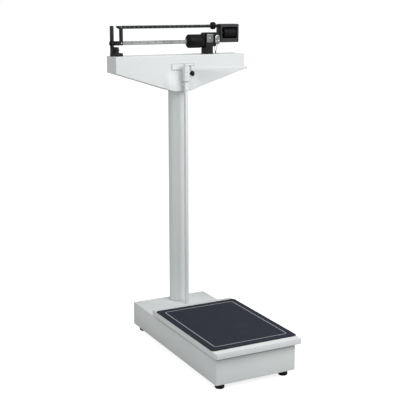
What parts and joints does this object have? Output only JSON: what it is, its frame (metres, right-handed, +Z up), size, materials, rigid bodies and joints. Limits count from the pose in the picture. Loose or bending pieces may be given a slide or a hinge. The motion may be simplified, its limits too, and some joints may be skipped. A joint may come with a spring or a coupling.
{
  "type": "physician beam scale",
  "caption": "Standing beam scale: lever base with a mat-topped platform, round column, V-shaped beam head with sliding poises, and a height rod with a swinging blade.",
  "frame": {"origin": "on the floor, under the middle of the whole scale", "axes": "+Z up, -Y towards the front of the platform, +X to the right of a person who faces the column, along the beam towards its counterweight"},
  "size_m": [0.621, 0.8189, 1.3708],
  "materials": {
    "white_paint": "satin white enamel",
    "black_enamel": "semi-gloss black enamel",
    "bright_steel": "bright plated steel",
    "grey_iron": "grey primed casting",
    "rule_aluminium": "satin anodised",
    "mat_rubber": "matt ribbed blue-black",
    "foot_rubber": "matt black",
    "knob_plastic": "gloss black",
    "label_plastic": "blank silver-grey plate"
  },
  "bodies": {
    "frame": {"base_box": "white_paint", "foot_front_left": "foot_rubber", "foot_front_right": "foot_rubber", "foot_rear_left": "foot_rubber", "foot_rear_right": "foot_rubber", "foot_bolt_front_left": "bright_steel", "foot_bolt_front_right": "bright_steel", "foot_bolt_rear_left": "bright_steel", "foot_bolt_rear_right": "bright_steel", "front_lever_cradle": "grey_iron", "rear_lever_cradle": "grey_iron", "column_tube": "white_paint", "column_flange": "grey_iron", "column_stud_1": "bright_steel", "column_stud_2": "bright_steel", "column_saddle": "grey_iron", "head_housing": "white_paint", "head_back_cover": "white_paint", "back_cover_screw_1": "bright_steel", "back_cover_screw_2": "bright_steel", "label_plate": "label_plastic", "fulcrum_stand": "black_enamel", "bearing_plate_front": "bright_steel", "bearing_plate_rear": "bright_steel", "trig_loop": "black_enamel", "trig_bracket": "black_enamel", "transfer_fulcrum_stand": "grey_iron", "height_tube": "white_paint", "rod_collar": "white_paint", "rod_bracket": "white_paint"},
    "beam": {"beam_end_casting": "black_enamel", "pointer": "black_enamel", "rivet_lower": "bright_steel", "rivet_upper": "bright_steel", "lower_bar": "bright_steel", "upper_bar": "black_enamel", "beam_centre_casting": "black_enamel", "main_knife_edge": "bright_steel", "load_knife_edge": "bright_steel", "counterweight_frame": "black_enamel", "balance_screw": "bright_steel"},
    "balance_weight": {"balance_weight": "black_enamel"},
    "large_poise": {"large_poise": "black_enamel", "poise_pawl": "bright_steel"},
    "small_poise": {"small_poise": "black_enamel"},
    "lock_cam": {"lock_cam": "black_enamel"},
    "shackle": {"shackle": "bright_steel", "connecting_rod": "bright_steel"},
    "transfer_lever": {"transfer_lever": "grey_iron"},
    "draft_rod": {"draft_rod": "bright_steel"},
    "long_lever": {"long_lever": "grey_iron", "lever_link": "bright_steel"},
    "short_lever": {"short_lever": "grey_iron"},
    "platform": {"platform_carrier": "grey_iron", "platform_cover": "white_paint", "platform_mat": "mat_rubber"},
    "height_rule": {"height_rule": "rule_aluminium", "rule_head": "white_paint"},
    "blade": {"measuring_blade": "white_paint"},
    "clamp_knob": {"clamp_knob": "knob_plastic"}
  },
  "joints": [
    {"name": "beam_swing", "type": "hinge", "parent": "frame", "child": "beam", "pos_m": [0.151, 0.358, 1.3], "axis": [0, 1, 0], "range_deg": [-1.5, 1.5]},
    {"name": "large_poise_slide", "type": "slide", "parent": "beam", "child": "large_poise", "axis": [-1, 0, 0], "range_m": [0, 0.299]},
    {"name": "small_poise_slide", "type": "slide", "parent": "beam", "child": "small_poise", "axis": [-1, 0, 0], "range_m": [0, 0.418]},
    {"name": "balance_weight_travel", "type": "slide", "parent": "beam", "child": "balance_weight", "axis": [1, 0, 0], "range_m": [-0.006, 0.0055]},
    {"name": "lock_cam_turn", "type": "hinge", "parent": "frame", "child": "lock_cam", "pos_m": [-0.2845, 0.358, 1.2597], "axis": [0, -1, 0], "range_deg": [0, 90]},
    {"name": "shackle_travel", "type": "slide", "parent": "frame", "child": "shackle", "axis": [0, 0, 1], "range_m": [-0.0012, 0.0012]},
    {"name": "transfer_lever_swing", "type": "hinge", "parent": "frame", "child": "transfer_lever", "pos_m": [-0.088, 0.358, 1.194], "axis": [0, 1, 0], "range_deg": [-0.23, 0.23]},
    {"name": "draft_rod_travel", "type": "slide", "parent": "frame", "child": "draft_rod", "axis": [0, 0, 1], "range_m": [-0.00036, 0.00036]},
    {"name": "long_lever_swing", "type": "hinge", "parent": "frame", "child": "long_lever", "pos_m": [-0.0205, -0.33, 0.078], "axis": [1, 0, 0], "range_deg": [-0.03, 0.03]},
    {"name": "short_lever_swing", "type": "hinge", "parent": "frame", "child": "short_lever", "pos_m": [-0.0205, 0.125, 0.101], "axis": [1, 0, 0], "range_deg": [-0.038, 0.038]},
    {"name": "platform_travel", "type": "slide", "parent": "frame", "child": "platform", "axis": [0, 0, 1], "range_m": [-0.00004, 0.00004]},
    {"name": "height_rule_slide", "type": "slide", "parent": "frame", "child": "height_rule", "axis": [0, 0, 1], "range_m": [0, 0.88]},
    {"name": "blade_swivel", "type": "hinge", "parent": "height_rule", "child": "blade", "pos_m": [0.0328, 0.2754, 1.181], "axis": [0, 0, 1], "range_deg": [-78, 12]},
    {"name": "clamp_knob_turn", "type": "hinge", "parent": "frame", "child": "clamp_knob", "pos_m": [0.0341, 0.2754, 1.157], "axis": [1, 0, 0], "range_deg": [0, 180]}
  ],
  "couplings": [
    {"joint": "shackle_travel", "follows": "beam_swing", "m_per_rad": -0.042},
    {"joint": "transfer_lever_swing", "follows": "beam_swing", "ratio": 0.14947},
    {"joint": "draft_rod_travel", "follows": "beam_swing", "m_per_rad": -0.013452},
    {"joint": "long_lever_swing", "follows": "beam_swing", "ratio": -0.019552},
    {"joint": "short_lever_swing", "follows": "beam_swing", "ratio": 0.024929},
    {"joint": "platform_travel", "follows": "beam_swing", "m_per_rad": -0.0014664}
  ]
}
